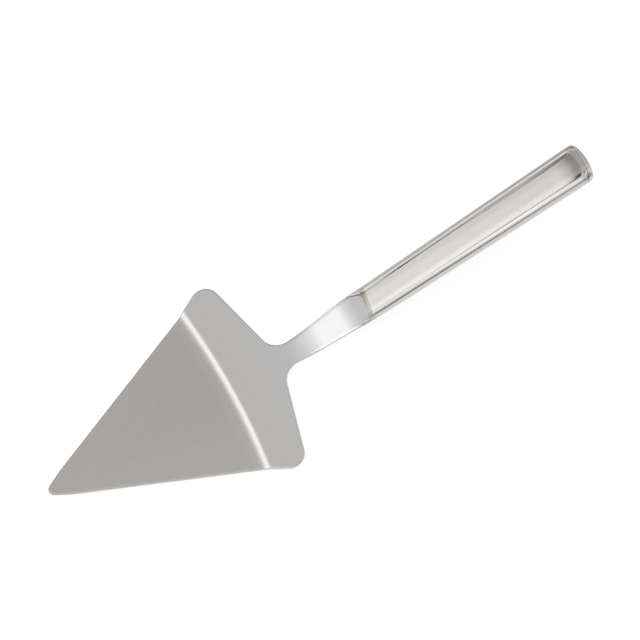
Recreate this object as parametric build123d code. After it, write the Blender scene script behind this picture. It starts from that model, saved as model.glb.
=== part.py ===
"""Pie server: a stamped steel blade with a stepped heel, and a hollow handle of two
pressed shells welded around the blade's tang.

While it is modelled, the sharp corner of the wedge is at x = 0 on the middle plane of
the front plate, +X runs towards the handle, +Y is the left side and +Z is up.
The handle has a plane of its own, which lies on the crest of its rim: s runs along it,
y across it and n out of it. At the end all pieces are moved together, so that the
origin is the bottom centre of the whole server.
"""
from build123d import *
from math import acos, atan2, cos, degrees, pi, radians, sin, sqrt, tan
import os

# Blade sheet, plan view
sheet = 1.8                  # thickness of the blade, shank and tang
wedge_half_angle = 23.9      # degrees from the axis to a cutting edge
tip_radius = 2.8
tip_half_angle = 29.3        # degrees, the last stretch to the tip is blunter
tip_bend_at = 15.0
tip_bend_radius = 30.0
flare_at = 104.1             # from the wedge's sharp corner to where the ears begin
flare_half_angle = 30.0      # degrees from the axis to the edge of an ear
flare_blend = 16.0           # radius where a cutting edge turns into an ear
ear_radius = 7.7
heel_at = 136.4              # from the sharp corner to the heel's meeting with the shank
heel_rake = 14.0             # degrees that the heel's edges lean back from square
neck_half_width = 5.5
neck_radius = 9.6            # fillet between the heel and the shank
shank_half_width = 8.8       # at its wide end, where the handle takes over
shank_widest_at = 180.5
shank_shoulder = 3.0         # radius at the wide end
tang_from = 186.6            # the shank has narrowed to the tang here
tang_half_width = 5.5        # goes in under the panel
tang_inlet_radius = 3.0
tang_reach = 58.0            # length of the tang behind the panel's front edge
tang_end_half_width = 4.2
tang_corner = 2.0

# Blade sheet, side view
step_at = 109.8              # from the wedge's sharp corner to the step's top, on the axis
step_arc = 370.0             # radius of the step, seen from above
step_rise = 0.7              # the heel plate lies this much above the front plate
step_slope = 14.0            # degrees, steepest part of the step
step_hollow_radius = 14.0    # long hollow on the front side of the step
step_crest_radius = 5.0      # short crest on its rear side
step_sweep = 40.0            # degrees that the step's profile is turned, past both ears
shank_rise_at = 151.5        # corner of the heel plate and the rising shank
shank_rise_radius = 91.0
shank_crest_at = 177.5       # corner where the shank turns level again
shank_crest_height = 6.16
shank_crest_radius = 54.0
tang_bend_radius = 12.0

# Handle, seen along its own plane
handle_front_at = 188.7      # the panel's front edge, where the crest plane has its origin
crest_height = 9.9           # of the crest plane there, above the front plate's middle
handle_slope = 9.5           # degrees
handle_reach = 128.2         # from the panel's front edge to the end
horn_reach = 8.2             # the rims run this far ahead of the panel's front edge
front_skew = 10.0            # degrees that this edge and its weld are out of square
handle_front_half_width = 8.9
handle_end_half_width = 10.85
end_bow_radius = 25.6
end_corner = 4.0
shell_wall = 0.9
shoulder_radius = 2.2        # outer edge of the rim; the seam lies level with its foot
crest_land = 0.4             # narrow flat on top of the rim
end_rim = 1.2                # from the handle's end to the inner edge of its rim
panel_recess = 1.45          # depth of the panel below the crest
panel_half_width = 5.7
panel_end_slope = 2.6        # length of the slope from the panel up to the end rim
panel_corner = 2.0
scoop_from = 115.0           # here the panel starts to curve up towards its end
scoop_radius = 30.0
scoop_rise = 1.25            # up to a crease this much above the panel
land_slope = 6.5             # degrees that the land behind the crease falls
horn_drop = 1.25             # the horns are this much lower than the rim's crest
horn_rise_run = 3.5          # length of their rise to the crest, ahead of the panel
horn_bend_radius = 4.0
belly_depth = 5.6            # of the lower shell below the seam
nose_depth = 2.0             # the same at the front end
nose_reach = 36.0            # length over which the lower shell deepens
seam_wall = 0.2              # below the seam its sides are upright, then rounded
seam_flank = 0.05            # the rounded sides would stand out this much
end_edge_radius = 3.6        # lower edge of the handle's end
weld_run = 2.4               # length of the weld on the shank
weld_toe = 0.05              # its thickness where it ends
weld_hollow_radius = 4.8
overrun = 20.0               # spare length of cutting bodies

# Worked out from the values above
handle_angle = radians(handle_slope)
crest_plane = Plane(
    origin=(handle_front_at, 0, crest_height),
    x_dir=(cos(handle_angle), 0, sin(handle_angle)),
    z_dir=(-sin(handle_angle), 0, cos(handle_angle)),
)
side_plane = Plane.XZ
seam_level = -shoulder_radius
tang_top = -(panel_recess + shell_wall)
tang_middle = tang_top - sheet / 2
tang_inlet = crest_plane.from_local_coords(Vector(0, 0, tang_middle))
bend_angle = handle_angle - atan2(
    tang_inlet.Z - shank_crest_height, tang_inlet.X - shank_crest_at
)
handle_taper = (handle_end_half_width - handle_front_half_width) / (
    handle_reach + horn_reach
)


def half_width_at(s):
    """Half the handle's width at a place along it."""
    return handle_front_half_width + handle_taper * (s + horn_reach)


def mirrored(points):
    """The points of one side, then the same points on the other side in reverse."""
    return points + [(x, -y) for x, y in reversed(points)]


def side_point(s, n):
    """Working x and z of a point of the handle's own plane."""
    point = crest_plane.from_local_coords(Vector(s, 0, n))
    return point.X, point.Z


def sheet_outline():
    """Plan of the whole sheet: wedge, ears, shank and tang."""
    blunt = tan(radians(tip_half_angle))
    bend = (tip_bend_at, tip_bend_at * tan(radians(wedge_half_angle)))
    tip = (bend[0] - bend[1] / blunt, 0)
    kink = (flare_at, flare_at * tan(radians(wedge_half_angle)))
    flare = tan(radians(flare_half_angle))
    rake = tan(radians(heel_rake))
    ear_y = kink[1] + flare * (heel_at + rake * neck_half_width - kink[0])
    ear_y /= 1 + flare * rake
    ear = (heel_at - rake * (ear_y - neck_half_width), ear_y)
    neck = (heel_at, neck_half_width)
    shoulder = (shank_widest_at, shank_half_width)
    inlet = (tang_from, tang_half_width)
    tang_end = (handle_front_at + tang_reach, tang_end_half_width)
    corners = [bend, kink, ear, neck, shoulder, inlet, tang_end]
    radii = [
        tip_bend_radius, flare_blend, ear_radius, neck_radius, shank_shoulder,
        tang_inlet_radius, tang_corner,
    ]
    outline = FilletPolyline(
        tip, *mirrored(corners), radius=[tip_radius, *radii, *reversed(radii)],
        close=True,
    )
    return make_face(outline)


def front_sheet():
    """Front plate, arc-shaped step and heel plate, turned about the arc's centre."""
    centre = Axis((step_at - step_arc, 0, 0), (0, 0, 1))
    foot = step_at - step_rise / tan(radians(step_slope))
    line = FilletPolyline(
        (-overrun, 0), (foot, 0), (step_at, step_rise), (heel_at + overrun, step_rise),
        radius=[step_hollow_radius, step_crest_radius],
    )
    section = side_plane * trace(line, line_width=sheet)
    turned = revolve(section, centre, revolution_arc=step_sweep)
    return turned.rotate(centre, -step_sweep / 2)


def shank_sheet():
    """Shank and tang: the flat end of the heel plate rises, flattens and rises again."""
    crease = (shank_crest_at, shank_crest_height)
    inlet = (tang_inlet.X, tang_inlet.Z)
    tang_end = side_point(tang_reach + overrun, tang_middle)
    line = FilletPolyline(
        (heel_at - neck_radius, step_rise), (shank_rise_at, step_rise), crease, inlet,
        tang_end,
        radius=[shank_rise_radius, shank_crest_radius, tang_bend_radius],
    )
    section = side_plane * trace(line, line_width=sheet)
    return extrude(section, shank_half_width + overrun, both=True)


def blade(outline):
    """The stamped sheet, cut to its outline."""
    tall = handle_reach
    cutter = extrude(outline, tall, both=True)
    heel_plate = Pos(heel_at - neck_radius / 2, 0, 0)
    front_half = heel_plate * Box(
        2 * heel_at, 2 * heel_at, tall, align=(Align.MAX, Align.CENTER, Align.CENTER)
    )
    front = front_sheet() & front_half & cutter
    rear = (shank_sheet() - front_half) & cutter
    return front + rear


def boat(front, front_half, reach, end_half, bow, corner):
    """Plan with straight sides, a bowed end and two rounded corners."""
    corner_at = reach - (bow - sqrt(bow**2 - end_half**2))
    sides = Polyline(
        (corner_at, end_half), (front, front_half), (front, -front_half),
        (corner_at, -end_half),
    )
    end = ThreePointArc((corner_at, -end_half), (reach, 0), (corner_at, end_half))
    face = make_face([sides, end])
    return fillet(face.vertices().group_by(Axis.X)[-1], corner)


def handle_outline(inset, front):
    """Plan of the handle, drawn in by an inset."""
    return boat(
        front, half_width_at(front) - inset, handle_reach - inset,
        handle_end_half_width - inset, end_bow_radius - inset, end_corner - inset,
    )


def crest_outline(grow, front):
    """Plan of the rim's inner edge, made wider and longer by an amount."""
    rim = shoulder_radius + crest_land - grow
    return boat(
        front, half_width_at(front) - rim, handle_reach - end_rim + grow,
        handle_end_half_width - rim, end_bow_radius - end_rim + grow, end_corner - rim,
    )


def panel_outline(grow, front):
    """Plan of the recessed panel, made wider and longer by an amount."""
    back = end_rim + panel_end_slope - grow
    half = panel_half_width + grow
    return boat(
        front, half, handle_reach - back, half, end_bow_radius - back, panel_corner
    )


def upper_form(inset):
    """Upper half of the handle without its panel: a prism with a rounded shoulder."""
    prism = extrude(Pos(0, 0, -inset) * handle_outline(inset, -horn_reach), -overrun)
    top = prism.faces().sort_by(Axis.Z)[-1]
    rim_edges = top.edges().sort_by(Axis.X)[1:]
    rounded = fillet(rim_edges, shoulder_radius - inset)
    return split(rounded, Plane.XY.offset(seam_level), keep=Keep.TOP)


def above_panel(wall):
    """All that lies above the panel, which curves up to a crease before its end."""
    level = -(panel_recess + wall)
    start = (-(horn_reach + overrun), level)
    bend = (scoop_from, level)
    turn = acos(1 - scoop_rise / scoop_radius)
    crease = (scoop_from + scoop_radius * sin(turn), level + scoop_rise)
    behind = handle_reach + overrun
    land_end = (behind, crease[1] - (behind - crease[0]) * tan(radians(land_slope)))
    panel = Line(start, bend)
    scoop = JernArc(bend, (1, 0), scoop_radius, degrees(turn))
    rest = Polyline(crease, land_end, (behind, overrun), (start[0], overrun), start)
    side = Plane.XZ * make_face([panel, scoop, rest])
    return extrude(side, 2 * handle_end_half_width, both=True)


def panel_cutter(wall):
    """Room above the panel, widened by a wall thickness to shape its underside."""
    front = -(horn_reach + overrun)
    floor = Pos(0, 0, -(panel_recess + wall)) * panel_outline(wall / 2, front)
    crest = crest_outline(wall, front)
    return loft([floor.face(), crest.face()], ruled=True) & above_panel(wall)


def lower_section(s, inset):
    """Cross-section of the lower shell's nose: a flat bottom and two rounded flanks."""
    turn = (s + horn_reach) / nose_reach
    depth = nose_depth + (belly_depth - nose_depth) * sin(turn * pi / 2) - inset
    half = half_width_at(s) + seam_flank - inset
    line = FilletPolyline(
        (-half, 0), (-half, -depth), (half, -depth), (half, 0),
        radius=depth - seam_wall,
    )
    face = make_face([line, Line((half, 0), (-half, 0))])
    station = Plane(origin=(s, 0, seam_level), x_dir=(0, 1, 0), z_dir=(1, 0, 0))
    return (station * face).face()


def lower_body(inset):
    """The lower shell's straight part behind its nose, longer than the handle."""
    start = nose_reach - horn_reach
    end = handle_reach + overrun
    depth = belly_depth - inset
    corners = [
        (s, half_width_at(s) + seam_flank - inset) for s in (start, end)
    ]
    plan = make_face(Polyline(*mirrored(corners), close=True))
    body = extrude(Pos(0, 0, seam_level) * plan, -depth)
    sides = body.faces().sort_by(Axis.Z)[0].edges().sort_by(SortBy.LENGTH)[-2:]
    return fillet(sides, depth - seam_wall)


def lower_form(inset):
    """Lower half of the handle: a lofted nose and the body, cut to their plan."""
    body = lower_body(inset)
    nose_shares = [0, 0.25, 0.5, 0.75]
    stations = [nose_reach * share - horn_reach for share in nose_shares]
    sections = [lower_section(s, inset) for s in stations]
    nose = loft([*sections, body.faces().sort_by(Axis.X)[0]])
    bottom = Pos(0, 0, seam_level - belly_depth + inset)
    block = extrude(
        bottom * handle_outline(inset, -horn_reach), belly_depth - inset + overrun
    )
    low_edges = block.faces().sort_by(Axis.Z)[0].edges().sort_by(Axis.X)[1:]
    return (nose + body) & fillet(low_edges, end_edge_radius - inset)


def inside_of(form):
    """The part of a form that may be hollow: it starts behind the panel's front wall."""
    skew_run = tang_half_width * tan(radians(front_skew))
    front_wall = Pos(shell_wall + skew_run, 0, 0) * Box(
        2 * handle_reach, 2 * handle_reach, 2 * handle_reach,
        align=(Align.MAX, Align.CENTER, Align.CENTER),
    )
    return form - front_wall


def horn_ramp():
    """What lies above the horns and their rise to the crest."""
    low = (-(horn_reach + overrun), -horn_drop)
    foot = (-horn_rise_run, -horn_drop)
    full = (0, 0)
    line = FilletPolyline(low, foot, full, radius=horn_bend_radius)
    above = Polyline(full, (0, overrun), (low[0], overrun), low)
    side = Plane.XZ * make_face([line, above])
    return extrude(side, 2 * handle_front_half_width, both=True)


def in_place(shape):
    """Moves a shape from the handle's own plane to its working place."""
    return crest_plane.location * shape


def mouth(outline):
    """Room above the shank, in front of the panel, as wide as the shank itself."""
    tall = extrude(outline, handle_reach, both=True)
    above = Pos(0, 0, tang_middle) * Rot(0, 0, -front_skew) * Box(
        handle_reach, handle_reach, handle_reach,
        align=(Align.MAX, Align.CENTER, Align.MIN),
    )
    return in_place(above) & tall


def top_shell(outline, steel_sheet):
    """Upper shell: rounded rim round three sides of a recessed panel, open in front."""
    outside = upper_form(0) - panel_cutter(0) - horn_ramp()
    hollow = inside_of(upper_form(shell_wall)) - panel_cutter(shell_wall)
    shell = in_place(outside - hollow)
    return shell - mouth(outline) - steel_sheet


def bottom_shell(outline, steel_sheet):
    """Lower shell: a shallow hull that is open above the shank."""
    hollow = inside_of(lower_form(shell_wall))
    return in_place(lower_form(0) - hollow) - mouth(outline) - steel_sheet


def neck_weld(outline, steel_sheet):
    """Bead across the shank, hollow on top, in the corner below the panel's edge."""
    lip = (0, -panel_recess)
    root = (0, tang_middle)
    toe_root = (-weld_run, tang_middle)
    toe = (-weld_run, tang_top + weld_run * tan(bend_angle) + weld_toe)
    line = Polyline(toe, toe_root, root, lip)
    hollow = RadiusArc(lip, toe, weld_hollow_radius)
    side = Plane.XZ * make_face([line, hollow])
    bead = Rot(0, 0, -front_skew) * extrude(side, handle_front_half_width, both=True)
    bead = in_place(bead)
    return (bead & mouth(outline)) - steel_sheet


def pie_server():
    """All pieces by name, moved to the origin under the middle of the whole."""
    outline = sheet_outline()
    steel_sheet = blade(outline)
    pieces = {
        "blade": steel_sheet,
        "handle_top_shell": top_shell(outline, steel_sheet),
        "handle_bottom_shell": bottom_shell(outline, steel_sheet),
        "neck_weld": neck_weld(outline, steel_sheet),
    }
    box = Compound(children=[piece.solid() for piece in pieces.values()]).bounding_box()
    middle = box.center()
    to_origin = Pos(-middle.X, -middle.Y, -box.min.Z)
    return {name: to_origin * piece for name, piece in pieces.items()}


os.makedirs("parts", exist_ok=True)
for name, piece in pie_server().items():
    export_step(piece, f"parts/{name}.step")
    size = piece.bounding_box().size
    print(name, len(piece.solids()), round(piece.volume), round(size.X), round(size.Y))
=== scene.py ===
"""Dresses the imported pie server: smooth steel surfaces, finishes, studio light and camera.

Lengths are millimetres until a mesh is made. In the working frame x runs from the sharp
corner that the wedge's sides point to, towards the handle, y points to the far side, and
z = 0 is the middle plane of the front plate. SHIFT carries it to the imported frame.
"""

import math

import bmesh
import bpy
import numpy as np
from mathutils import Matrix, Vector


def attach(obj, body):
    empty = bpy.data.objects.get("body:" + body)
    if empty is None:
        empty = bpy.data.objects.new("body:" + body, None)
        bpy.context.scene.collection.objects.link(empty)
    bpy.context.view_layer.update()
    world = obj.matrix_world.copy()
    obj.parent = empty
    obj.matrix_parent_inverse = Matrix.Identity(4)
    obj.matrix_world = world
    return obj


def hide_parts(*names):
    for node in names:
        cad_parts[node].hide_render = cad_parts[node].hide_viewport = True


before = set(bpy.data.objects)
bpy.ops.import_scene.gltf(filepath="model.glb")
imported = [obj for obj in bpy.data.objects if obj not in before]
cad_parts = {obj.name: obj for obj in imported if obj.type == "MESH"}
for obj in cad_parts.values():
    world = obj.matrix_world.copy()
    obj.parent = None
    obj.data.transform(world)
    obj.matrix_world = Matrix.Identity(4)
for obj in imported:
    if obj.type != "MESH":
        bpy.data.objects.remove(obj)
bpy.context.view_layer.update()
scene = bpy.context.scene
MM = 0.001
SHIFT = np.array([-160.981, 0.0, 0.9])

# Camera, fitted to mirror pairs on the photographed outline
CAMERA_AT = Vector((15.71, -936.1, 2319.3)) * MM
LOOKS_AT = Vector((2.88, 7.67, 1.4)) * MM
ROLL = math.radians(29.847)
FOCAL_IN_PIXELS, IMAGE_SIDE = 5082.06, 640
SENSOR_WIDTH = 36
NEAREST_SEEN, FARTHEST_SEEN = 0.1, 20

# Blade sheet, plan. A pair of numbers is a place on the centre line and half the width
# there. The wedge's side turns at the tip bend, the flare, the ear and the neck.
SHEET = 1.8
WEDGE_ANGLE, TIP_ANGLE, FLARE_ANGLE, RAKE_ANGLE = 23.9, 29.3, 30.0, 14.0
WEDGE, TIP, FLARE, RAKE = (
    math.tan(math.radians(a)) for a in (WEDGE_ANGLE, TIP_ANGLE, FLARE_ANGLE, RAKE_ANGLE))
TIP_BEND_AT, FLARE_AT, HEEL_AT, NECK_HALF = 15.0, 104.1, 136.4, 5.5
SHANK_WIDE, TANG_FROM, TANG_END = (180.5, 8.8), (187.9, 5.55), (246.5, 4.2)
SHEET_END = 246.7
TIP_RADIUS, TIP_BEND, FLARE_BEND, EAR_ROUND, NECK_ROUND = 2.8, 30.0, 16.0, 7.7, 9.6
SHANK_BEND, TANG_BEND, TANG_ROUND = 3.0, 3.0, 2.0
TIP_AT = TIP_BEND_AT * (1 - WEDGE / TIP)
EAR_HALF = (FLARE_AT * WEDGE + FLARE * (HEEL_AT + RAKE * NECK_HALF - FLARE_AT)) / (
    1 + FLARE * RAKE)
TIP_BEND_HALF, FLARE_HALF = TIP_BEND_AT * WEDGE, FLARE_AT * WEDGE
EAR_AT = HEEL_AT - RAKE * (EAR_HALF - NECK_HALF)
PLAN = [(TIP_AT, 0), (TIP_BEND_AT, TIP_BEND_HALF), (FLARE_AT, FLARE_HALF),
        (EAR_AT, EAR_HALF), (HEEL_AT, NECK_HALF), SHANK_WIDE, TANG_FROM, TANG_END,
        (SHEET_END, 0)]
PLAN_RADII = [TIP_BEND, FLARE_BEND, EAR_ROUND, NECK_ROUND, SHANK_BEND, TANG_BEND,
              TANG_ROUND]

# The sheet's edge: rounding, and how far in from the edge the faces begin. Along the
# shank the rounding is wider; each pair is where that starts and how soon it is full.
EDGE_ROUND, SHANK_ROUND, EDGE_STRIP = 0.45, 1.3, 1.5
SHANK_ROUND_FROM, SHANK_ROUND_TO = (143.0, 15.0), (176.0, 5.0)

# Handle, in its own plane: s along, y across, n out of the crest plane
HANDLE_FRONT, CREST_HEIGHT, SLOPE = 188.7, 9.9, math.radians(9.5)
REACH, HORN_REACH = 128.2, 8.2
FRONT_HALF, END_HALF = 8.9, 10.85
SIDE_FROM, SIDE_TO = 99.0, 100.0
END_BOW = 25.6
BOW_CENTRE = REACH - END_BOW
SEAM, WALL = -2.2, 0.9

# Panel and its skewed front edge. It is a little shallower towards the end.
PANEL_HALF, RECESS, RECESS_END = 5.7, 1.5, 1.15
SHALLOWER_FROM, SHALLOWER_OVER = 10.0, 105.0
SKEW, SKEW_FADES_OVER = math.tan(math.radians(10.0)), 14.0
SCOOP_FROM, CREASE_AT, CREASE_LEVEL = 115.0, 123.8, -0.2
LAND_FALL = math.tan(math.radians(6.5))
GROOVE_AT, GROOVE_DEPTH, GROOVE_WIDTH = 126.5, 0.12, 0.2
SOFT_CHANGE = 0.08

# Rim: widths of shoulder, crest and slope in front and at the end, and the corners of the
# lines between them. A share is of the slope's width, rounded at its top and its foot.
SHOULDER_FRONT, SHOULDER_END = 3.4, 2.8
CREST_FRONT, CREST_END = 0.05, 0.2
OVAL_POWER = 1.8
END_SHOULDER, END_CREST, END_SLOPE = 0.9, 0.3, 2.6
END_DROP, DROP_FROM, DROP_OVER = 0.25, 121.0, 6.0
SLOPE_TOP_SHARE, SLOPE_FOOT_SHARE = 0.2, 0.08
SEAM_CORNER, CREST_CORNER, SLOPE_CORNER, FOOT_CORNER = 4.0, 2.6, 2.2, 1.8
LEAST_SHOULDER, CREST_CLEARANCE, CREST_BLEND = 0.1, 0.05, 0.1
HORN_LIFT, SHANK_DEPTH = 0.12, 1.9

# Lower shell: its depth at the nose and behind, the upright wall under the seam, and how
# far the flat strip lies in from the end. Its trough is as deep as two walls.
NOSE, BELLY, NOSE_REACH, SEAM_WALL = 2.0, 5.6, 36.0, 0.2
STRIP_BACK, STRIP_CORNER, INSIDE_CORNER = 3.6, 0.8, 3.0
TROUGH_DEPTH = 2 * WALL

# Blade sheet, side view: lines through its middle, whose corners are rounded. The step is
# round a centre far in front, and before it is a long hollow.
STEP_AT, STEP_RADIUS, STEP_RISE = 109.8, 400.0, 0.7
STEP_CENTRE = STEP_AT - STEP_RADIUS
HOLLOW_FROM, STEP_FOOT, STEP_TOP_AT = 102.0, (107.3, 0.09), 110.0
PLATE_FROM, PLATE_TO = -20.0, 170.0
HOLLOW_BEND, STEP_FOOT_BEND, STEP_TOP_BEND = 150.0, 12.0, 5.0
FRONT_LINE = [(PLATE_FROM, 0), (HOLLOW_FROM, 0), STEP_FOOT, (STEP_TOP_AT, STEP_RISE),
              (PLATE_TO, STEP_RISE)]
FRONT_RADII = [HOLLOW_BEND, STEP_FOOT_BEND, STEP_TOP_BEND]
HEEL_FROM, HEEL_MIDDLE, SHANK_RISES_AT, SHANK_BENDS_AT = 120.0, 131.0, 151.5, (177.5, 6.16)
TANG_DEPTH, TANG_RUN = RECESS + WALL + SHEET / 2, 80.0
TANG_INLET = (HANDLE_FRONT + TANG_DEPTH * math.sin(SLOPE),
              CREST_HEIGHT - TANG_DEPTH * math.cos(SLOPE))
SHANK_LINE = [(HEEL_FROM, STEP_RISE), (SHANK_RISES_AT, STEP_RISE), SHANK_BENDS_AT,
              TANG_INLET, (TANG_INLET[0] + TANG_RUN,
                           TANG_INLET[1] + TANG_RUN * math.tan(SLOPE))]
SHANK_RISE_BEND, SHANK_TOP_BEND, INLET_BEND = 91.0, 54.0, 12.0
SHANK_RADII = [SHANK_RISE_BEND, SHANK_TOP_BEND, INLET_BEND]

# Weld bead: reach on the shank and on the panel, the waves of its toe as (height, radians
# a millimetre, start), how high it stands on either, and how deep it goes into the shank
BEAD_AHEAD, BEAD_BEHIND = 2.4, 0.15
TOE_WAVES = [(0.1, 2.1, 0.7), (0.06, 4.7, 0.0)]
BEAD_RISE_SHARE, BEAD_ON_SHANK, BEAD_ON_PANEL = 0.6, 0.02, 0.045
BEAD_LEAST, BEAD_SUNK = 0.05, 0.3

# Fineness of the meshes: spacings, and counts of points. PROBE is how far to either side
# a slope is read. Points closer than MERGE_GAP, which is in metres, become one.
PLAN_SPACING, FRONT_SPACING, SHANK_SPACING, EDGE_SPACING = 0.2, 0.05, 0.1, 0.45
TIP_GAP, PROBE = 0.1, 0.02
LEAST_ARC, TIP_ARC, EDGE_ARC, BLADE_COLUMNS = 6, 16, 9, 49
HORN_ROWS, SIDE_ROWS, CORNER_ROWS, BOW_ROWS = 60, 240, 18, 60
SHOULDER_COLUMNS, SLOPE_COLUMNS, PANEL_COLUMNS = 15, 41, 41
HULL_COLUMNS, STRIP_COLUMNS = 22, 21
BEAD_ROWS, BEAD_COLUMNS = 60, 22
HALVINGS = 60
MERGE_GAP, SHARP_ANGLE = 2e-7, math.radians(35)


# Curves and meshes

def rounded(corners, radii, step):
    """Open polyline with its inner corners turned into arcs: each arc starts and ends
    r * tan(half the turn) from its corner. The arcs are cut into steps."""
    corners = np.array(corners, float)
    pieces = [corners[:1]]
    for i, radius in enumerate(radii, 1):
        before = corners[i] - corners[i - 1]
        after = corners[i + 1] - corners[i]
        before, after = before / np.hypot(*before), after / np.hypot(*after)
        turn = math.atan2(before[0] * after[1] - before[1] * after[0], before @ after)
        start = corners[i] - before * radius * math.tan(abs(turn) / 2)
        side = np.array([-before[1], before[0]]) * math.copysign(1, turn)
        centre = start + side * radius
        count = max(LEAST_ARC, int(abs(turn) * radius / step) + 1)
        a = np.linspace(0, turn, count)[:, None]
        spoke = start - centre
        pieces.append(centre + np.hstack([
            spoke[0] * np.cos(a) - spoke[1] * np.sin(a),
            spoke[0] * np.sin(a) + spoke[1] * np.cos(a)]))
    pieces.append(corners[-1:])
    return np.vstack(pieces)


def spaced(path, step):
    """The path cut again at even arc lengths."""
    run = np.r_[0, np.cumsum(np.hypot(*np.diff(path, axis=0).T))]
    at = np.linspace(0, run[-1], int(run[-1] / step) + 2)
    return np.stack([np.interp(at, run, path[:, 0]), np.interp(at, run, path[:, 1])], 1)


def right_of(path):
    """Unit normals to the right of a path: its direction turned by a quarter."""
    ahead = np.gradient(path, axis=0)
    ahead /= np.hypot(*ahead.T)[:, None]
    return np.stack([ahead[:, 1], -ahead[:, 0]], 1)


def ease(t):
    """0 to 1 with level ends: t squared times 3 - 2t."""
    t = np.clip(t, 0, 1)
    return t * t * (3 - 2 * t)


def upper_of(a, b, width=SOFT_CHANGE):
    """The higher of two heights with a soft change between them: half the sum of a, b
    and the root of their difference squared plus the width squared."""
    return (a + b + np.sqrt((a - b) ** 2 + width ** 2)) / 2


def quads(rows, columns, first):
    """Corner numbers of the faces of a grid of points."""
    i = np.arange(rows * columns).reshape(rows, columns) + first
    corners = (i[:-1, :-1], i[1:, :-1], i[1:, 1:], i[:-1, 1:])
    return np.stack(corners, -1).reshape(-1, 4)


def make_piece(name, grids, finish, nodes):
    """Joins grids of points in the working frame into one closed, smooth mesh."""
    points, faces, count = [], [], 0
    for grid in grids:
        rows, columns = grid.shape[:2]
        faces.append(quads(rows, columns, count))
        points.append(grid.reshape(-1, 3))
        count += rows * columns
    points = (np.vstack(points) + SHIFT) * MM
    mesh = bpy.data.meshes.new(name)
    mesh.from_pydata(points.tolist(), [], np.vstack(faces).tolist())
    work = bmesh.new()
    work.from_mesh(mesh)
    bmesh.ops.remove_doubles(work, verts=work.verts, dist=MERGE_GAP)
    bmesh.ops.recalc_face_normals(work, faces=work.faces)
    work.to_mesh(mesh)
    work.free()
    mesh.shade_smooth()
    mesh.set_sharp_from_angle(angle=SHARP_ANGLE)
    mesh.materials.append(finish)
    piece = bpy.data.objects.new(name, mesh)
    scene.collection.objects.link(piece)
    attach(piece, "root")
    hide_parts(*nodes)


# Blade

PLAN_CURVE = rounded(PLAN, PLAN_RADII, PLAN_SPACING)
FRONT_CURVE = rounded(FRONT_LINE, FRONT_RADII, FRONT_SPACING)
SHANK_CURVE = rounded(SHANK_LINE, SHANK_RADII, SHANK_SPACING)


def sheet_middle(x, y):
    """Height of the sheet's middle: before the heel's middle a curve of the distance
    from the step's centre, behind it the shank's curve of x alone."""
    from_centre = np.hypot(x - STEP_CENTRE, y) + STEP_CENTRE
    front = np.interp(from_centre, *FRONT_CURVE.T)
    rear = np.interp(x, *SHANK_CURVE.T)
    return np.where(x < HEEL_MIDDLE, front, rear)


def sheet_point(plan, lift):
    """Points at a plan place and a height above the sheet's middle. The height is
    stretched by the root of 1 + slope squared, so that the sheet keeps its thickness."""
    x, y = plan[..., 0], plan[..., 1]
    slope = (sheet_middle(x + PROBE, y) - sheet_middle(x - PROBE, y)) / (2 * PROBE)
    z = sheet_middle(x, y) + lift * np.sqrt(1 + slope ** 2)
    return np.stack([x, y, z], -1)


def far_outline():
    """The far half of the blade's outline, from an arc round the tip to the tang's end,
    cut at even lengths."""
    tip_angle = math.atan2(TIP_BEND_HALF, TIP_BEND_AT - TIP_AT)
    centre = TIP_AT + TIP_RADIUS / math.sin(tip_angle)
    a = np.linspace(0, math.pi / 2 - tip_angle, TIP_ARC)
    tip = np.stack([centre - TIP_RADIUS * np.cos(a), TIP_RADIUS * np.sin(a)], 1)
    rest = PLAN_CURVE[PLAN_CURVE[:, 0] > tip[-1, 0] + TIP_GAP]
    return spaced(np.vstack([tip, rest]), EDGE_SPACING)


def blade_grids():
    """Edge: a strip swept along the outline, whose section is a quarter circle or oval,
    an upright and another quarter. Faces: rows from side to side."""
    half = far_outline()
    normal = -right_of(half)
    normal[0], normal[-1] = (-1, 0), (1, 0)
    loop = np.vstack([half, half[::-1][1:-1] * (1, -1), half[:1]])
    out = np.vstack([normal, normal[::-1][1:-1] * (1, -1), normal[:1]])
    turn = np.linspace(0, math.pi / 2, EDGE_ARC)
    depth = SHEET / 2 - EDGE_ROUND * (1 - np.cos(turn))
    rise = np.r_[SHEET / 2, depth, -depth[::-1], -SHEET / 2]
    grows, shrinks = (ease((loop[:, :1] - start) / over)
                      for start, over in (SHANK_ROUND_FROM, SHANK_ROUND_TO))
    width = EDGE_ROUND + (SHANK_ROUND - EDGE_ROUND) * (grows - shrinks)
    inset = width * (1 - np.sin(turn))
    strip = np.full_like(width, EDGE_STRIP)
    inset = np.hstack([strip, inset, inset[:, ::-1], strip])
    edge = sheet_point(loop[:, None, :] - out[:, None, :] * inset[..., None], rise)
    inner = half - normal * EDGE_STRIP
    inner[0, 1] = inner[-1, 1] = 0
    side = np.linspace(1, -1, BLADE_COLUMNS)
    rows = np.stack([np.repeat(inner[:, :1], BLADE_COLUMNS, 1), inner[:, 1:] * side], -1)
    return [edge, sheet_point(rows, SHEET / 2), sheet_point(rows, -SHEET / 2)]


# Handle

def in_place(s, y, n):
    """Working coordinates of points of the handle's own plane, turned up by its slope."""
    s, y, n = np.broadcast_arrays(s, y, n)
    return np.stack([HANDLE_FRONT + s * math.cos(SLOPE) - n * math.sin(SLOPE), y,
                     CREST_HEIGHT + s * math.sin(SLOPE) + n * math.cos(SLOPE)], -1)


def tapered(s, front, end):
    """A size that changes evenly from the horns' front to the handle's end."""
    return front + (end - front) * (s + HORN_REACH) / (REACH + HORN_REACH)


def half_width(s):
    """Half the handle's width, at the seam."""
    return tapered(s, FRONT_HALF, END_HALF)


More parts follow.
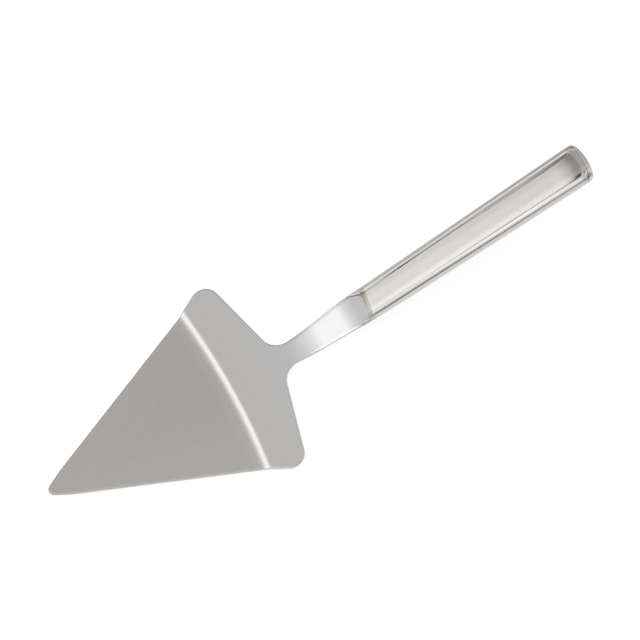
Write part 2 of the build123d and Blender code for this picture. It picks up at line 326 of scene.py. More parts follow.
def shank_side(s):
    """Foot of the rim: half the shank's width beside the horns, and the panel's behind."""
    x = HANDLE_FRONT + s * math.cos(SLOPE) + SHANK_DEPTH * math.sin(SLOPE)
    return np.maximum(np.interp(x, *PLAN_CURVE.T), PANEL_HALF)


def shank_top(s):
    """Level of the shank's upper face, in the handle's plane."""
    x = HANDLE_FRONT + s * math.cos(SLOPE)
    return sheet_middle(x, 0) + SHEET / 2 - CREST_HEIGHT - s * math.sin(SLOPE)


def crest_level(s):
    """0 behind the panel's front edge. In the horns it comes down to the shank's top, and
    at the end it is a little lower."""
    horn = (shank_top(s) + HORN_LIFT) * ease(-s / HORN_REACH)
    return horn - END_DROP * ease((s - DROP_FROM) / DROP_OVER)


def crest_inner(s):
    """Inner edge of the crest: the shoulder's and the crest's widths in from the side, but
    never nearer the middle than the shank nor nearer the side than a thin horn."""
    behind = half_width(s) - tapered(s, SHOULDER_FRONT + CREST_FRONT,
                                     SHOULDER_END + CREST_END)
    beside = upper_of(behind, shank_side(s), CREST_BLEND)
    return -upper_of(-beside, LEAST_SHOULDER - half_width(s), CREST_BLEND)


def crest_outer(s):
    """Outer edge of the crest, where the shoulder begins."""
    outer = crest_inner(s) + tapered(s, CREST_FRONT, CREST_END)
    return np.minimum(outer, half_width(s) - CREST_CLEARANCE)


def lower_depth(s):
    """Depth of the lower shell: a quarter sine from the nose to the belly."""
    turn = np.clip((s + HORN_REACH) / NOSE_REACH, 0, 1)
    return NOSE + (BELLY - NOSE) * np.sin(turn * math.pi / 2)


def lower_side(s):
    """Edge of the flat strip under the handle: it is wide where the nose is shallow."""
    return half_width(s) - (lower_depth(s) - SEAM_WALL)


def inside_side(s):
    """Half the width inside the lower shell."""
    return half_width(s) - WALL


def corner_centre(half_at, end, bow, corner):
    """Centre of the arc that joins a side to the bowed end. It lies a radius inside the
    side, and s is halved down to where it lies a radius inside the bow too. The side's
    direction is read between two places before the end."""
    rise = (half_at(SIDE_TO) - half_at(SIDE_FROM)) / (SIDE_TO - SIDE_FROM)
    side_dir = np.array([1.0, rise]) / math.hypot(1.0, rise)
    low, high = SIDE_FROM, end
    for _ in range(HALVINGS):
        middle = (low + high) / 2
        centre_y = half_at(middle) - corner / side_dir[0]
        if math.hypot(middle - BOW_CENTRE, centre_y) > bow - corner:
            high = middle
        else:
            low = middle
    return np.array([middle, centre_y]), side_dir


def handle_loop(half_at, back, corner):
    """Plan curve round the handle from its left front over the end to its right front:
    sides by half_at(s), arcs in the corners, and a bowed end that lies back from the
    handle's own. Near the panel's front edge the points slide along the sides, so that
    opposite ones are as skewed as that edge. All loops have as many points, so that
    surfaces can run from one to the next."""
    bow = END_BOW - back
    centre, side_dir = corner_centre(half_at, REACH - back, bow, corner)
    first = math.atan2(side_dir[0], -side_dir[1])
    last = math.atan2(centre[1], centre[0] - BOW_CENTRE)
    touch = centre[0] + corner * math.cos(first)
    s = np.r_[np.linspace(-HORN_REACH, 0, HORN_ROWS + 1),
              np.linspace(0, touch, SIDE_ROWS)[1:]]
    slide = PANEL_HALF * SKEW * ease((s + HORN_REACH) / HORN_REACH)
    slide *= ease((SKEW_FADES_OVER - s) / SKEW_FADES_OVER)
    a = np.linspace(first, last, CORNER_ROWS + 2)[1:-1]
    arc = centre + corner * np.stack([np.cos(a), np.sin(a)], 1)
    b = np.linspace(last, 0, BOW_ROWS)
    cap = np.stack([BOW_CENTRE + bow * np.cos(b), bow * np.sin(b)], 1)
    left, right = (np.stack([s + way * slide, half_at(s + way * slide)], 1)
                   for way in (1, -1))
    left = np.vstack([left, arc, cap])
    right = np.vstack([right, arc, cap])[::-1][1:] * (1, -1)
    return np.vstack([left, right])


def recess(s):
    """Depth of the panel's flat floor below the crest plane."""
    return RECESS + (RECESS_END - RECESS) * ease((s - SHALLOWER_FROM) / SHALLOWER_OVER)


def panel_curve(s, y):
    """Height of the panel: a flat floor, then a scoop that rises with the square of the
    distance to a crease, and a land that falls evenly, with a bell-shaped groove across.
    Scoop and land are round the same centre as the bowed end."""
    s = np.where(s > BOW_CENTRE, BOW_CENTRE + np.hypot(s - BOW_CENTRE, y), s)
    t = np.clip((s - SCOOP_FROM) / (CREASE_AT - SCOOP_FROM), 0, 1)
    scoop = (CREASE_LEVEL + RECESS_END) * t ** 2 - recess(s)
    land = CREASE_LEVEL - (s - CREASE_AT) * LAND_FALL
    groove = GROOVE_DEPTH * np.exp(-((s - GROOVE_AT) / GROOVE_WIDTH) ** 2)
    return np.where(s < CREASE_AT, scoop, land - groove)


def rows_between(left, right, count):
    """Rows of evenly spaced points from one side to the other."""
    t = np.linspace(0, 1, count)[None, :, None]
    return left[:, None] + (right - left)[:, None] * t


def sides_of(loop):
    """The left side of a loop and the matching points of its right side."""
    count = len(loop) // 2 + 1
    return loop[:count], loop[::-1][:count]


def top_grids():
    """Rim: an oval shoulder from the seam to the crest, the crest, and a slope down to the
    panel, which stops at the panel's curve where that is higher. Beside the shank the
    slope is an upright wall down to the seam. Panel: rows across. Below, all is closed
    at the seam's level."""
    back = END_SHOULDER + END_CREST
    seam = handle_loop(half_width, 0, SEAM_CORNER)
    outer = handle_loop(crest_outer, END_SHOULDER, CREST_CORNER)
    inner = handle_loop(crest_inner, back, SLOPE_CORNER)
    foot = handle_loop(shank_side, back + END_SLOPE, FOOT_CORNER)
    top = crest_level(inner[:, 0])[:, None]
    a = np.linspace(0, math.pi / 2, SHOULDER_COLUMNS)
    power = 2 / OVAL_POWER
    sweep = 1 - np.abs(np.cos(a)) ** power
    shoulder = seam[:, None] + (outer - seam)[:, None] * sweep[None, :, None]
    shoulder_n = SEAM + (top - SEAM) * np.sin(a) ** power
    t = np.linspace(0, 1, SLOPE_COLUMNS)
    inside = inner[:, None] + (foot - inner)[:, None] * t[None, :, None]
    steepness = np.minimum(t / SLOPE_TOP_SHARE, 1) * np.minimum((1 - t) / SLOPE_FOOT_SHARE, 1)
    fall = np.cumsum(steepness) / np.sum(steepness)
    slope_n = top - (recess(foot[:, :1]) + top) * fall
    slope_n = upper_of(slope_n, panel_curve(inside[..., 0], inside[..., 1]))
    plan = np.hstack([shoulder, inside])
    upright, sloped = (in_place(plan[..., 0], plan[..., 1], np.hstack([shoulder_n, n]))
                       for n in (top + (SEAM - top) * t, slope_n))
    rim = np.vstack([upright[:HORN_ROWS + 1], sloped[HORN_ROWS:len(seam) - HORN_ROWS],
                     upright[len(seam) - HORN_ROWS - 1:]])
    rows = rows_between(*(side[HORN_ROWS:] for side in sides_of(foot)), PANEL_COLUMNS)
    height = upper_of(-recess(rows[..., 0]), panel_curve(rows[..., 0], rows[..., 1]))
    panel = in_place(rows[..., 0], rows[..., 1], height)
    below = in_place(rows[..., 0], rows[..., 1], SEAM)
    ledge = in_place(*np.moveaxis(np.stack([seam, foot], 1), -1, 0), SEAM)
    is_shoulder = np.arange(plan.shape[1])[:, None] < SHOULDER_COLUMNS
    horn_tips = [np.stack([ring, np.where(is_shoulder, ring[0], ring[-1])])
                 for ring in (upright[0], upright[-1])]
    return [rim, panel, below, ledge, np.stack([panel[0], below[0]]), *horn_tips]


def bottom_grids():
    """Hull: upright for a little below the seam, then a quarter circle down to a flat
    strip, which is shallow in front. Inside is a trough, closed below the shank."""
    seam = handle_loop(half_width, 0, SEAM_CORNER)
    strip = handle_loop(lower_side, STRIP_BACK, STRIP_CORNER)
    inner = handle_loop(inside_side, WALL, INSIDE_CORNER)
    depth = lower_depth(seam[:, 0])[:, None]
    a = np.linspace(0, math.pi / 2, HULL_COLUMNS)
    hull = seam[:, None] + (strip - seam)[:, None] * (1 - np.cos(a))[None, :, None]
    edge = np.hypot(*(strip - seam).T)[:, None]
    hull_n = SEAM - (depth - edge) - edge * np.sin(a)
    plan = np.concatenate([inner[:, None], inner[:, None], seam[:, None], hull], 1)
    level = np.full_like(depth, SEAM)
    height = np.hstack([level - TROUGH_DEPTH, level, level, hull_n])
    skin = in_place(plan[..., 0], plan[..., 1], height)
    under = rows_between(*sides_of(skin[:, -1]), STRIP_COLUMNS)
    trough = rows_between(*sides_of(skin[:, 0]), STRIP_COLUMNS)
    fronts = [np.stack([ring, np.broadcast_to(ring[0], ring.shape)])
              for ring in (skin[0], skin[-1])]
    return [skin, under, trough, np.stack([trough[0], under[0]]), *fronts]


def weld_grids():
    """Bead in the corner between the shank and the panel's front edge: it rises evenly
    from a toe on the shank and runs out level on the panel. The toe is wavy across."""
    y = np.linspace(PANEL_HALF, -PANEL_HALF, BEAD_ROWS)[:, None]
    t = np.linspace(0, 1, BEAD_COLUMNS)[None, :]
    wave = sum(height * np.sin(pace * y + start) for height, pace, start in TOE_WAVES)
    s = y * SKEW - (BEAD_AHEAD + wave) * (1 - t) + BEAD_BEHIND * t
    x = in_place(s, y, 0)[..., 0]
    shank = sheet_middle(x, y) + SHEET / 2
    panel = in_place(s, y, panel_curve(s, y))[..., 2]
    rise = np.minimum(t / BEAD_RISE_SHARE, 1)
    z = (shank + BEAD_ON_SHANK) * (1 - rise) + (panel + BEAD_ON_PANEL) * rise
    top = np.stack([x, np.broadcast_to(y, s.shape), z], -1)
    low = top.copy()
    low[..., 2] = np.minimum(z - BEAD_LEAST, shank - BEAD_SUNK)
    ends = [np.stack([top[end], low[end]]) for end in (0, -1)]
    toes = [np.stack([top[:, end], low[:, end]]) for end in (0, -1)]
    return [top, low, *ends, *toes]


# Finishes. A fade is the pair of places where a shade starts and where it is full. A
# shade multiplies the steel's colour, so below 1 it is darker and above 1 lighter. Places
# on the blade are x and y, on the handle s and y, and rings are round the bowed end's
# centre. A mark is (place, spread, shade). But for the grain and the brown heat round the
# weld, the shades below are painted light and shade: they put the steel's reflections and
# its shade into its colour.
STEEL, BROWN = (0.64, 0.63, 0.615), (0.78, 0.69, 0.58)
SATIN, POLISHED, HEATED = 0.24, 0.15, 0.45
GRAIN_FADE, GRAIN_DETAIL = (0.35, 0.75), 4

# Grain left by the brush: how each axis is stretched, fineness, shade and roughness
BLADE_GRAIN = ((0.05, 1.0, 0.2), 3.0, 0.05, 0.05)
HANDLE_GRAIN = ((0.04, 1.0, 0.6), 2.5, 0.04, 0.04)
WELD_GRAIN = ((1.0, 0.3, 1.0), 3.0, 0.08, 0.1)

# Heat round the weld: ahead of it and behind, and from the near side to the far one
HEAT_AHEAD, HEAT_BEHIND = (-3.4, -1.8), (0.7, -0.9)
HEAT_FARWARD, HEAT_NEAR_SHARE, HEAT_WITHIN = (-4.0, 5.0), 0.25, (8.5, 6.0)

# Blade, painted light and shade: a darker front plate, a lighter near corner, a heel
# lighter and bluer as a painted reflection, and dark far edges
PLATE_FADE, PLATE_SHADE = (0.5, 6.0), (0.81, 0.78, 0.76)
NEAR_PLATE_FADE, NEAR_PLATE_SHADE = (5.0, -45.0), 1.07
HEEL_FADE, HEEL_PAINTED_REFLECTION = (112.0, 145.0), (1.05, 1.06, 1.09)
SHANK_FAR_FADE, SHANK_FROM, SHANK_FAR_PAINTED_SHADE = (-2.6, -0.8), (140.0, 150.0), 0.78
SHANK_TAPER = (SHANK_WIDE[1] - NECK_HALF) / (SHANK_WIDE[0] - HEEL_AT)
FACES_FAR_FADE, FACES_UP_FADE, FAR_RIM_PAINTED_SHADE = (0.04, 0.12), (0.3, 0.4), 0.35

# Scoop, land and end, all painted shade: the dark scoop and a deeper dark in its near
# corner, the darker, yellowish land, the dark groove, the dark corners, the darker end rim,
# and the lower shell darker below the seam
RING_OVER, BELOW_SEAM_FADE, BELOW_SEAM_PAINTED_SHADE = 4.0, (-2.1, -2.9), 0.8
SCOOP_FADE, SCOOP_WITHIN, SCOOP_PAINTED_SHADE = (8.8, 19.0), (7.4, 6.9), (0.38, 0.37, 0.36)
CREASE_FADE = (21.15, 21.3)
DULLER = 0.25
SCOOP_CORNER_PAINTED_SHADE, SCOOP_CORNER_PAINTED_SHADE_END = ((120.9, -5.95), (2.8, 0.75), 0.06), (122.6, 122.3)
LAND_WITHIN, LAND_PAINTED_SHADE = (10.0, 8.6), (0.82, 0.79, 0.755)
END_RIM_FADE, END_RIM_PAINTED_SHADE = (24.9, 25.4), 0.72
GROOVE_RING = GROOVE_AT - BOW_CENTRE
# Painted shade: the groove's dark line and its near end, and dark spots at the crease's near
# corner and the land's far corner.
GROOVE_MARKS = [((GROOVE_RING, 0.0), (0.35, 14.0), 0.55),
                ((GROOVE_RING, -6.2), (0.4, 2.2), 0.3)]
CORNER_MARKS = [((124.1, -6.2), (0.9, 0.7), 0.45), ((124.7, 7.05), (1.0, 0.7), 0.7)]

# Near side, painted light and shade: a lighter floor, a slope darker in front and lighter
# behind, a dark line at its foot, and dark and light lines along the shoulder's bend,
# which slants out with the side
NEAR_FLOOR_FADES, NEAR_FLOOR_PAINTED_LIGHT = ((-2.0, -4.6), (-5.9, -5.5)), 1.22
NEAR_SLOPE_FADES = ((-5.4, -5.9), (-8.0, -7.4))
NEAR_SLOPE_SHADES = [((60.0, 20.0), 0.86), ((55.0, 105.0), 1.45)]
NEAR_FOOT_MARK = ((20.0, -5.8), (60.0, 0.3), 0.8)
BEND_SLANT = 0.0155
BEND_MARKS = [((20.0, -7.5), (50.0, 0.3), 0.68), ((10.0, -8.15), (50.0, 0.3), 1.3),
              ((105.0, -7.75), (50.0, 0.35), 1.4)]

# Far side, painted light and shade: a darker floor and slope, the crest that stays light
# behind, a darker shoulder, and the slope's foot lighter in front, its rear darker and its
# corner at the scoop lighter
FAR_FADE, FAR_SHADE = (1.0, 4.5), 0.88
FAR_CREST_FADES, FAR_CREST_FROM = ((6.2, 6.8), (8.6, 8.0)), (30.0, 80.0)
FAR_SHOULDER_FADE, FAR_SHOULDER_SHADE = (8.0, 9.0), 0.82
FAR_FOOT_FADES, FAR_FRONT_FADES = ((5.55, 5.7), (6.15, 5.9)), ((75.0, 50.0), (-1.0, 0.0))
FAR_SLOPE_FADES, FAR_REAR_FADES = ((5.5, 5.9), (7.5, 7.0)), ((60.0, 78.0), (113.0, 100.0))
FAR_CORNER_FADES = ((108.0, 113.0), (120.0, 117.0))
FAR_FOOT_SHADE, FAR_REAR_SHADE, FAR_CORNER_SHADE = 1.5, 0.85, 1.3

# Horns: duller, with painted shade, and painted light on the far one's slanting inner face
HORN_FADE, HORN_SHADE, HORN_INSIDE_SHADE = (0.5, -1.0), 0.88, 1.4
HORN_SLANT, HORN_SLANT_AT = 0.44, -1.2
HORN_INSIDE_FADE, HORN_FAR_FADE = (0.2, 0.08), (4.0, 5.0)


class Wires:
    """Short ways to add and join the nodes of one material or of the world."""

    def __init__(self, tree):
        self.tree = tree

    def add(self, kind, **settings):
        """A new node with its settings."""
        node = self.tree.nodes.new(kind)
        for name, value in settings.items():
            setattr(node, name, value)
        return node

    def join(self, source, target):
        """Sets an input to a value, or leads an output to it."""
        if isinstance(source, (int, float, tuple)):
            target.default_value = source
        else:
            self.tree.links.new(source, target)

    def work_out(self, operation, a, b=0.0):
        """One sum, product or the like of two values."""
        node = self.add("ShaderNodeMath", operation=operation)
        self.join(a, node.inputs[0])
        self.join(b, node.inputs[1])
        return node.outputs[0]

    def plus(self, a, b):
        return self.work_out("ADD", a, b)

    def minus(self, a, b):
        return self.work_out("SUBTRACT", a, b)

    def times(self, first, *others):
        for other in others:
            first = self.work_out("MULTIPLY", first, other)
        return first

    def size(self, a):
        return self.work_out("ABSOLUTE", a)

    def fade(self, value, start, full):
        """0 at the start, 1 where it is full, eased between."""
        node = self.add("ShaderNodeMapRange", interpolation_type="SMOOTHSTEP")
        self.join(value, node.inputs["Value"])
        node.inputs["From Min"].default_value = start
        node.inputs["From Max"].default_value = full
        return node.outputs["Result"]

    def between(self, value, fades):
        """1 between two places, with a fade at each."""
        return self.times(*(self.fade(value, *fade) for fade in fades))

    def spot(self, x, y, at, spread):
        """Bell round a place of two values: exp(-(dx / spread)^2 - (dy / spread)^2)."""
        dx, dy = (self.work_out("DIVIDE", self.minus(value, place), width)
                  for value, place, width in zip((x, y), at, spread))
        far = self.plus(self.times(dx, dx), self.times(dy, dy))
        return self.work_out("EXPONENT", self.times(far, -1.0))


class Steel(Wires):
    """A metal whose colour and roughness are put together from masks. Places come from
    the piece's own coordinates: x and y of the working frame, s and n of the handle's.
    How far the surface faces up and to the far side comes from its normal."""

    def __init__(self, name, roughness):
        self.material = bpy.data.materials.new(name)
        self.material.use_nodes = True
        super().__init__(self.material.node_tree)
        self.shader = self.tree.nodes["Principled BSDF"]
        self.shader.inputs["Metallic"].default_value = 1
        source = self.add("ShaderNodeTexCoord")
        self.place = self.vector("SCALE", source.outputs["Object"], 1 / MM)
        self.place = self.vector("SUBTRACT", self.place, tuple(SHIFT))
        self.x, self.y, _ = self.parts(self.place)
        _, self.faces_far, self.faces_up = self.parts(source.outputs["Normal"])
        front = (HANDLE_FRONT, 0.0, CREST_HEIGHT)
        self.s = self.along(front, (math.cos(SLOPE), 0.0, math.sin(SLOPE)))
        self.n = self.along(front, (-math.sin(SLOPE), 0.0, math.cos(SLOPE)))
        self.colour = (*STEEL, 1)
        self.roughness = roughness

    def vector(self, operation, a, b):
        """The same for places and directions."""
        node = self.add("ShaderNodeVectorMath", operation=operation)
        self.join(a, node.inputs[0])
        self.join(b, node.inputs["Scale" if operation == "SCALE" else 1])
        return node.outputs["Value" if operation == "DOT_PRODUCT" else "Vector"]

    def parts(self, vector):
        """The x, y and z of a place or direction."""
        node = self.add("ShaderNodeSeparateXYZ")
        self.join(vector, node.inputs[0])
        return node.outputs

    def along(self, start, direction):
        """Distance from a start, measured along a unit direction."""
        before = sum(a * b for a, b in zip(start, direction))
        return self.minus(self.vector("DOT_PRODUCT", self.place, direction), before)

    def distance(self, a, b):
        """Root of the sum of two squares."""
        squares = self.plus(self.times(a, a), self.times(b, b))
        return self.work_out("SQRT", squares)

    def shade(self, mask, shade):
        """Multiplies the colour by a shade where the mask is 1."""
        full = shade if isinstance(shade, tuple) else (shade,) * 3
        tint = self.add("ShaderNodeMix", data_type="RGBA")
        self.join(mask, tint.inputs["Factor"])
        self.join((1.0, 1.0, 1.0, 1), tint.inputs["A"])
        self.join((*full, 1), tint.inputs["B"])
        node = self.add("ShaderNodeMix", data_type="RGBA", blend_type="MULTIPLY")
        node.inputs["Factor"].default_value = 1
        self.join(self.colour, node.inputs["A"])
        self.join(tint.outputs["Result"], node.inputs["B"])
        self.colour = node.outputs["Result"]

    def marks(self, x, y, marks):
        """Shades a few small places."""
        for at, spread, shade in marks:
            self.shade(self.spot(x, y, at, spread), shade)

    def dull(self, mask):
        """Takes the polish off where the mask is 1."""
        self.roughness = self.plus(self.roughness, self.times(mask, DULLER))

    def brush(self, stretch, fineness, shade, rough):
        """Streaks drawn out along the brushing, darker and a little rougher."""
        streaks = self.add("ShaderNodeTexNoise")
        streaks.inputs["Scale"].default_value = fineness
        streaks.inputs["Detail"].default_value = GRAIN_DETAIL
        self.join(self.vector("MULTIPLY", self.place, stretch), streaks.inputs["Vector"])
        grain = streaks.outputs["Fac"]
        self.shade(self.fade(grain, *GRAIN_FADE), 1 - shade)
        self.roughness = self.plus(self.times(grain, rough), self.roughness - rough / 2)

    def heat(self):
        """Brown round the weld, which lies askew: full at the far side and faint at the
        near one, and nowhere outside the rim's slopes."""
        from_weld = self.minus(self.s, self.times(self.y, SKEW))
        band = self.between(from_weld, (HEAT_AHEAD, HEAT_BEHIND))
        farward = self.times(self.fade(self.y, *HEAT_FARWARD), 1 - HEAT_NEAR_SHARE)
        within = self.fade(self.size(self.y), *HEAT_WITHIN)
        self.shade(self.times(band, self.plus(farward, HEAT_NEAR_SHARE), within), BROWN)

    def finish(self):
        """Puts colour and roughness on the steel, which is then ready for a piece."""
        self.join(self.colour, self.shader.inputs["Base Color"])
        self.join(self.roughness, self.shader.inputs["Roughness"])
        return self.material


def satin_steel():
    """Blade: fine brushing along its length. Painted light and shade: the front plate is
    darker than the heel, the heel lighter and bluer, the near corner lighter, and the far
    edges of plate, ears and shank are darker."""
    steel = Steel("satin steel", SATIN)
    steel.brush(*BLADE_GRAIN)
    ring = steel.distance(steel.minus(steel.x, STEP_CENTRE), steel.y)
    # Painted shade: the front plate, ahead of the step, darker than the heel; painted light:
    # its near corner lighter.
    plate = steel.fade(ring, *(STEP_RADIUS - inside for inside in PLATE_FADE))
    steel.shade(plate, PLATE_SHADE)
    steel.shade(steel.times(plate, steel.fade(steel.y, *NEAR_PLATE_FADE)), NEAR_PLATE_SHADE)
    # Painted reflection: the heel lighter and bluer than the front plate.
    steel.shade(steel.fade(steel.x, *HEEL_FADE), HEEL_PAINTED_REFLECTION)
    # Painted shade along the shank's far edge.
    behind_heel = steel.times(steel.minus(steel.x, HEEL_AT), SHANK_TAPER)
    from_side = steel.minus(steel.minus(steel.y, behind_heel), NECK_HALF)
    on_shank = steel.fade(steel.x, *SHANK_FROM)
    steel.shade(steel.times(steel.fade(from_side, *SHANK_FAR_FADE), on_shank),
                SHANK_FAR_PAINTED_SHADE)
    # Painted shade on the rounded edges that face the far side and up, on plate and ears.
    far_rim = steel.times(steel.fade(steel.faces_far, *FACES_FAR_FADE),
                          steel.fade(steel.faces_up, *FACES_UP_FADE))
    steel.shade(steel.times(far_rim, steel.fade(steel.x, *SHANK_FROM[::-1])), FAR_RIM_PAINTED_SHADE)
    steel.heat()
    return steel.finish()


def end_ring(steel):
    """Distance from the centre of the end's bow, grown from 0 just behind that centre."""
    ring = steel.distance(steel.minus(steel.s, BOW_CENTRE), steel.y)
    return steel.times(ring, steel.fade(steel.s, BOW_CENTRE, BOW_CENTRE + RING_OVER))


def lower_steel():
    """Lower shell: polished all over, with painted shade round the end and below the seam."""
    steel = Steel("polished steel below", POLISHED)
    steel.brush(*HANDLE_GRAIN)
    # Painted shade: darker round the end, and below the seam.
    steel.shade(steel.fade(end_ring(steel), *END_RIM_FADE), END_RIM_PAINTED_SHADE)
    steel.shade(steel.fade(steel.n, *BELOW_SEAM_FADE), BELOW_SEAM_PAINTED_SHADE)
    return steel.finish()


def shade_end(steel):
    """The polishing wheel does not reach the scoop, which stays dull. Its darkness is painted
    shade in the recess, deepest in its near corner. Behind the crease are the land, its
    groove and corners, and the end rim, all with painted shade."""
    ring, from_middle = end_ring(steel), steel.size(steel.y)
    # Painted shade in the scoop's recess; the same mask also makes it rougher.
    scoop = steel.times(steel.fade(ring, *SCOOP_FADE),
                        steel.fade(from_middle, *SCOOP_WITHIN),
                        steel.fade(ring, *CREASE_FADE[::-1]))
    steel.shade(scoop, SCOOP_PAINTED_SHADE)
    steel.dull(scoop)
    # Painted shade, deepest in the scoop's near corner.
    at, spread, shade = SCOOP_CORNER_PAINTED_SHADE
    steel.shade(steel.times(steel.spot(steel.s, steel.y, at, spread),
                            steel.fade(steel.s, *SCOOP_CORNER_PAINTED_SHADE_END)), shade)
    # Painted shade on the land behind the crease.
    steel.shade(steel.times(steel.fade(ring, *CREASE_FADE),
                            steel.fade(from_middle, *LAND_WITHIN)), LAND_PAINTED_SHADE)
    steel.shade(steel.fade(ring, *END_RIM_FADE), END_RIM_PAINTED_SHADE)
    # Painted shade in the groove and in the land's corners.
    steel.marks(ring, steel.y, GROOVE_MARKS)
    steel.marks(steel.s, steel.y, CORNER_MARKS)


def shade_near_side(steel):
    """Near side, painted light and shade: a light floor, a slope that is darker in front and
    lighter behind, a thin dark line at its foot, and thin dark and light lines along the
    shoulder's bend."""
    # Painted light on the near floor, painted shade and light on the slope, and painted dark
    # and light lines.
    steel.shade(steel.between(steel.y, NEAR_FLOOR_FADES), NEAR_FLOOR_PAINTED_LIGHT)
    slope = steel.between(steel.y, NEAR_SLOPE_FADES)
    for fade, shade in NEAR_SLOPE_SHADES:
        steel.shade(steel.times(slope, steel.fade(steel.s, *fade)), shade)
    steel.marks(steel.s, steel.y, [NEAR_FOOT_MARK])
    bend = steel.plus(steel.y, steel.times(steel.s, BEND_SLANT))
    steel.marks(steel.s, bend, BEND_MARKS)


def shade_far_side(steel):
    """Far side, painted light and shade: darker, but for the rear of the crest. The slope is
    light at its foot in front, dark behind, and light again in the corner at the scoop."""
    # Painted shade over the far side, left out on the rear of the crest, then painted light
    # and shade along the slope.
    crest = steel.times(steel.between(steel.y, FAR_CREST_FADES),
                        steel.fade(steel.s, *FAR_CREST_FROM))
    steel.shade(steel.minus(steel.fade(steel.y, *FAR_FADE), crest), FAR_SHADE)
    steel.shade(steel.fade(steel.y, *FAR_SHOULDER_FADE), FAR_SHOULDER_SHADE)
    foot = steel.between(steel.y, FAR_FOOT_FADES)
    slope = steel.between(steel.y, FAR_SLOPE_FADES)
    for part, fades, shade in ((slope, FAR_REAR_FADES, FAR_REAR_SHADE),
                               (slope, FAR_CORNER_FADES, FAR_CORNER_SHADE),
                               (foot, FAR_FRONT_FADES, FAR_FOOT_SHADE)):
        steel.shade(steel.times(part, steel.between(steel.s, fades)), shade)


def shade_horns(steel):
    """Horns: duller, with painted shade, and painted light on the inner face of the far one.
    """
    horn = steel.fade(steel.s, *HORN_FADE)
    steel.dull(horn)
    slant = steel.times(steel.minus(steel.s, HORN_SLANT_AT), HORN_SLANT)
    from_face = steel.plus(steel.minus(steel.y, PANEL_HALF), slant)
    inside = steel.times(horn, steel.fade(from_face, *HORN_INSIDE_FADE),
                         steel.fade(steel.y, *HORN_FAR_FADE))
    # Painted light on the far horn's inner face, painted shade on the rest of the horns.
    steel.shade(inside, HORN_INSIDE_SHADE)
    steel.shade(steel.minus(horn, inside), HORN_SHADE)


def polished_steel():
    """Upper shell: polished, with the painted light and shade of its end, its sides and its
    horns.
    """
    steel = Steel("polished steel", POLISHED)
    steel.brush(*HANDLE_GRAIN)
    for shade_part in (shade_end, shade_near_side, shade_far_side, shade_horns):
        shade_part(steel)
    steel.heat()
    return steel.finish()


def tinted_steel():
    """Weld bead: coarse and brown from heat."""
    steel = Steel("heat-tinted steel", HEATED)
    steel.brush(*WELD_GRAIN)
    steel.heat()
    return steel.finish()


# Studio. Sizes of the floor are metres.
FLOOR_HALF, FLOOR_DROP = 3, 0.0002
PAPER, PAPER_ROUGHNESS = (0.85, 0.85, 0.85, 1), 0.9
GLOW, GLOW_SHARE = 1.12, 0.8

# Brightness of the light tent over x and over y of the direction, as (place, brightness)
LIGHT_OVER_X = [(-1.0, 0.7), (-0.8, 0.72), (-0.66, 0.75), (-0.56, 1.0), (-0.47, 1.57),
                (-0.4, 1.57), (-0.33, 1.25), (-0.27, 1.0), (-0.2, 0.86), (-0.1, 0.77),
                (-0.03, 0.635), (0.3, 0.63), (1.0, 0.7)]
LIGHT_OVER_Y = [(-1.0, 0.92), (-0.88, 1.0), (-0.8, 0.8), (-0.73, 0.3), (-0.67, 0.1),
                (-0.6, 0.25), (-0.53, 0.7), (-0.44, 0.9), (-0.3, 0.95), (0.05, 1.35),
                (0.2, 1.15), (0.377, 1.0), (0.5, 1.15), (0.62, 1.22), (0.75, 1.05),
                (0.86, 0.75), (1.0, 0.9)]
BRIGHTEST, HORIZON_FADE = 2.0, (0.15, 0.5)


def make_floor():
    """White paper just under the server. Seen directly or in the steel it glows evenly,
    so that only a trace of the shadow is left."""
    corners = [(x * FLOOR_HALF, y * FLOOR_HALF, 0)
               for x, y in ((-1, -1), (1, -1), (1, 1), (-1, 1))]
    mesh = bpy.data.meshes.new("floor")
    mesh.from_pydata(corners, [], [(0, 1, 2, 3)])
    floor = bpy.data.objects.new("floor", mesh)
    floor.location.z = -FLOOR_DROP
    scene.collection.objects.link(floor)
    paper = bpy.data.materials.new("white paper")
    paper.use_nodes = True
    wires = Wires(paper.node_tree)
    shader = wires.tree.nodes["Principled BSDF"]
    wires.join(PAPER, shader.inputs["Base Color"])
    wires.join(PAPER_ROUGHNESS, shader.inputs["Roughness"])
    path = wires.add("ShaderNodeLightPath")
    seen = path.outputs["Is Camera Ray"]
    for ray in ("Is Glossy Ray", "Is Transmission Ray"):
        seen = wires.work_out("MAXIMUM", seen, path.outputs[ray])
    glow = wires.add("ShaderNodeEmission")
    wires.join(GLOW, glow.inputs["Strength"])
    mix = wires.add("ShaderNodeMixShader")
    wires.join(wires.times(seen, GLOW_SHARE), mix.inputs[0])
    wires.join(shader.outputs[0], mix.inputs[1])
    wires.join(glow.outputs[0], mix.inputs[2])
    wires.join(mix.outputs[0], wires.tree.nodes["Material Output"].inputs[0])
    mesh.materials.append(paper)


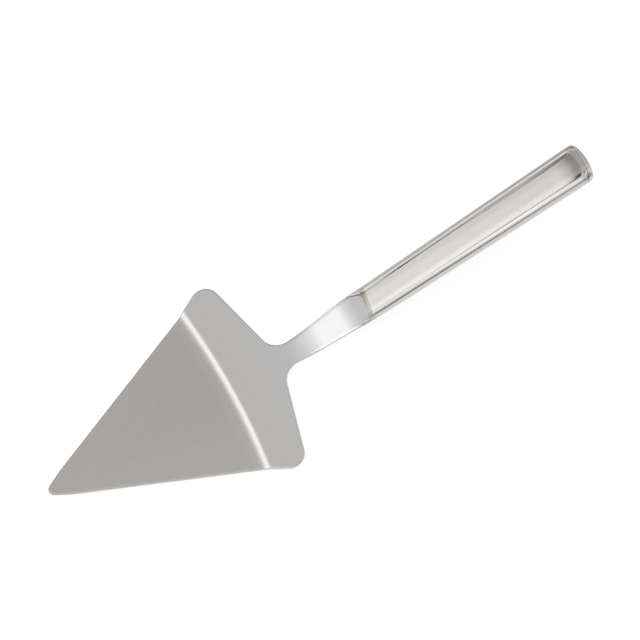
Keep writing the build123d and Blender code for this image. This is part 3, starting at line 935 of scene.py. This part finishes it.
def light_curve(wires, value, stops):
    """Brightness over one axis of the direction: a smooth curve through the stops."""
    ramp = wires.add("ShaderNodeValToRGB")
    ramp.color_ramp.interpolation = "CARDINAL"
    marks = ramp.color_ramp.elements
    for at, _ in stops[2:]:
        marks.new((at + 1) / 2)
    marks[0].position, marks[len(stops) - 1].position = 0, 1
    for mark, (at, light) in zip(marks, stops):
        mark.position = (at + 1) / 2
        mark.color = (*(light / BRIGHTEST,) * 3, 1)
    wires.join(wires.times(wires.plus(value, 1.0), 1 / 2), ramp.inputs[0])
    return wires.times(ramp.outputs[0], BRIGHTEST)


def make_world():
    """Light tent: brightness by direction, the product of a curve over x and one over y.
    Towards the horizon the curve over y fades to even light."""
    scene.world = bpy.data.worlds.new("light tent")
    scene.world.use_nodes = True
    wires = Wires(scene.world.node_tree)
    background = wires.tree.nodes["Background"]
    place = wires.add("ShaderNodeTexCoord")
    split = wires.add("ShaderNodeSeparateXYZ")
    wires.join(place.outputs["Generated"], split.inputs[0])
    x, y, z = split.outputs
    over_y = wires.minus(light_curve(wires, y, LIGHT_OVER_Y), 1.0)
    over_y = wires.plus(wires.times(over_y, wires.fade(z, *HORIZON_FADE)), 1.0)
    light = wires.times(light_curve(wires, x, LIGHT_OVER_X), over_y)
    wires.join(light, background.inputs["Strength"])
    background.inputs["Color"].default_value = (1, 1, 1, 1)


def make_camera():
    """Camera axes from the line of sight and the server's own length, then the roll."""
    back = (CAMERA_AT - LOOKS_AT).normalized()
    level = Vector((1, 0, 0))
    level = (level - back * level.dot(back)).normalized()
    upright = back.cross(level)
    right = level * math.cos(ROLL) - upright * math.sin(ROLL)
    up = level * math.sin(ROLL) + upright * math.cos(ROLL)
    data = bpy.data.cameras.new("camera")
    data.sensor_width = SENSOR_WIDTH
    data.sensor_fit = "HORIZONTAL"
    data.lens = FOCAL_IN_PIXELS / IMAGE_SIDE * data.sensor_width
    data.clip_start, data.clip_end = NEAREST_SEEN, FARTHEST_SEEN
    camera = bpy.data.objects.new("camera", data)
    scene.collection.objects.link(camera)
    turn = Matrix((right, up, back)).transposed()
    camera.matrix_world = Matrix.Translation(CAMERA_AT) @ turn.to_4x4()
    scene.camera = camera


make_camera()
make_floor()
make_world()
make_piece("blade_sheet", blade_grids(), satin_steel(), ["blade"])
make_piece("handle_top", top_grids(), polished_steel(), ["handle_top_shell"])
make_piece("handle_bottom", bottom_grids(), lower_steel(), ["handle_bottom_shell"])
make_piece("weld_bead", weld_grids(), tinted_steel(), ["neck_weld"])

scene.view_settings.view_transform = "Standard"
